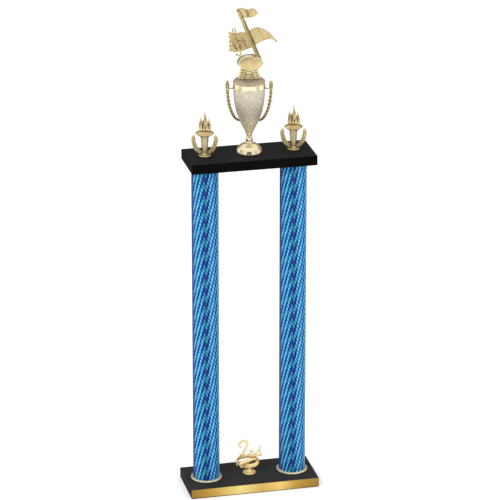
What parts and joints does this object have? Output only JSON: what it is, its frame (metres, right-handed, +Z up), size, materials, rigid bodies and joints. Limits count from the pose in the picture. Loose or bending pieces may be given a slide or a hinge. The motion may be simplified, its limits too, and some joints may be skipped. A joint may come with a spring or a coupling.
{
  "type": "column trophy",
  "caption": "Award trophy: black base and deck boards joined by foil-covered columns, with a handled cup, music-note figure, torches and a place trim.",
  "frame": {"origin": "centre of the base board's underside", "axes": "+Z up, front with the gold strip towards -Y, columns side by side along X"},
  "size_m": [0.25, 0.1078, 0.9507],
  "materials": {
    "black_board": "satin black paint on composite board",
    "gold_plate": "brushed gold anodised strip",
    "holographic_foil": "blue holographic foil with slanted dashes",
    "bronze_cap": "metallised gold plastic",
    "zinc_steel": "zinc plated",
    "frosted_gold": "frosted metallised plastic",
    "polished_gold": "polished metallised plastic",
    "torch_gold": "polished metallised plastic",
    "trim_gold": "polished metallised plastic",
    "figure_gold": "satin metallised plastic"
  },
  "bodies": {
    "stand": {"base_board": "black_board", "front_trim_plate": "gold_plate", "tie_rod_washers": "zinc_steel", "tie_rod_nuts": "zinc_steel", "left_lower_column_cap": "bronze_cap", "right_lower_column_cap": "bronze_cap", "left_column_tube": "holographic_foil", "right_column_tube": "holographic_foil", "left_upper_column_cap": "bronze_cap", "right_upper_column_cap": "bronze_cap", "left_tie_rod": "zinc_steel", "right_tie_rod": "zinc_steel", "deck_board": "black_board", "cup_rod": "zinc_steel", "cup_rod_washer": "zinc_steel", "cup_rod_nut": "zinc_steel", "place_trim_bolt": "zinc_steel", "place_trim_washer": "zinc_steel"},
    "cup": {"cup_foot": "polished_gold", "cup_stem": "polished_gold", "cup_bowl": "frosted_gold", "cup_rim_band": "polished_gold", "cup_lid": "frosted_gold", "cup_handle_left": "polished_gold", "cup_handle_right": "polished_gold"},
    "figure": {"figure_pedestal": "figure_gold", "figure_insert": "zinc_steel", "music_note": "figure_gold", "sheet_music_scroll": "figure_gold", "treble_clef": "figure_gold"},
    "torch_left": {"torch_left": "torch_gold", "torch_left_insert": "zinc_steel"},
    "torch_right": {"torch_right": "torch_gold", "torch_right_insert": "zinc_steel"},
    "place_trim": {"place_trim_foot": "trim_gold", "place_trim_insert": "zinc_steel", "place_trim_ribbon": "trim_gold", "place_trim_numeral": "trim_gold"}
  },
  "joints": [
    {"name": "torch_left_turn", "type": "hinge", "parent": "stand", "child": "torch_left", "pos_m": [-0.0845, 0, 0.672], "axis": [0, 0, 1], "continuous": true},
    {"name": "torch_right_turn", "type": "hinge", "parent": "stand", "child": "torch_right", "pos_m": [0.0845, 0, 0.672], "axis": [0, 0, 1], "continuous": true},
    {"name": "cup_turn", "type": "hinge", "parent": "stand", "child": "cup", "pos_m": [0, 0, 0.672], "axis": [0, 0, 1], "continuous": true},
    {"name": "figure_turn", "type": "hinge", "parent": "cup", "child": "figure", "pos_m": [0, 0, 0.8164], "axis": [0, 0, 1], "continuous": true},
    {"name": "place_trim_turn", "type": "hinge", "parent": "stand", "child": "place_trim", "pos_m": [0, 0, 0.019], "axis": [0, 0, 1], "continuous": true}
  ]
}
